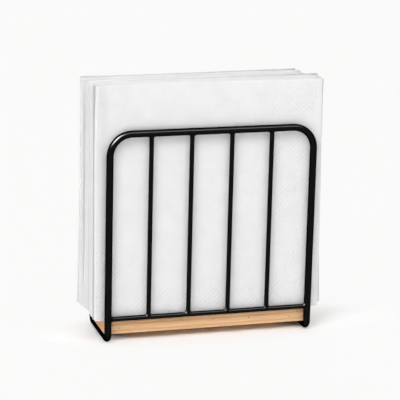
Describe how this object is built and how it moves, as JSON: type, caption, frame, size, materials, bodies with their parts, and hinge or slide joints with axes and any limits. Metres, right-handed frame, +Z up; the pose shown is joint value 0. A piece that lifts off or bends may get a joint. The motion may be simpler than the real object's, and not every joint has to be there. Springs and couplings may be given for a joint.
{
  "type": "napkin holder",
  "caption": "Upright napkin holder: two arched panels of black steel rod with upright bars stand on runners under a wooden plank that carries a lift-out stack of folded napkins.",
  "frame": {"origin": "on the table, under the middle of the frame's footprint", "axes": "+X to the right along the panels, +Y from the front panel to the rear one, +Z up"},
  "size_m": [0.1696, 0.0508, 0.1827],
  "materials": {
    "black_coat": "black satin powder coat over round steel rod",
    "plank_wood": "light sanded softwood with a clear matt finish and grain along its length",
    "zinc_steel": "zinc-plated wood screws",
    "napkin_paper": null
  },
  "bodies": {
    "holder": {"front_frame": "black_coat", "rear_frame": "black_coat", "front_rail": "black_coat", "rear_rail": "black_coat", "front_bar_1": "black_coat", "front_bar_2": "black_coat", "front_bar_3": "black_coat", "front_bar_4": "black_coat", "rear_bar_1": "black_coat", "rear_bar_2": "black_coat", "rear_bar_3": "black_coat", "rear_bar_4": "black_coat", "base_plank": "plank_wood", "left_strap": "black_coat", "right_strap": "black_coat", "strap_screws": "zinc_steel"},
    "front_napkin": {"napkin_1": "napkin_paper"},
    "napkin_stack": {"napkin_2": "napkin_paper", "napkin_3": "napkin_paper", "napkin_4": "napkin_paper", "napkin_5": "napkin_paper", "napkin_6": "napkin_paper", "napkin_7": "napkin_paper", "napkin_8": "napkin_paper", "napkin_9": "napkin_paper", "napkin_10": "napkin_paper", "napkin_11": "napkin_paper", "napkin_12": "napkin_paper", "napkin_13": "napkin_paper", "napkin_14": "napkin_paper", "napkin_15": "napkin_paper", "napkin_16": "napkin_paper", "napkin_17": "napkin_paper", "napkin_18": "napkin_paper", "napkin_19": "napkin_paper", "napkin_20": "napkin_paper", "napkin_21": "napkin_paper", "napkin_22": "napkin_paper", "napkin_23": "napkin_paper", "napkin_24": "napkin_paper", "napkin_25": "napkin_paper", "napkin_26": "napkin_paper", "napkin_27": "napkin_paper", "napkin_28": "napkin_paper", "napkin_29": "napkin_paper", "napkin_30": "napkin_paper"}
  },
  "joints": [
    {"name": "front_napkin_lift", "type": "slide", "parent": "holder", "child": "front_napkin", "axis": [0, 0, 1], "range_m": [0, 0.15]},
    {"name": "napkin_stack_lift", "type": "slide", "parent": "holder", "child": "napkin_stack", "axis": [0, 0, 1], "range_m": [0, 0.15]}
  ]
}
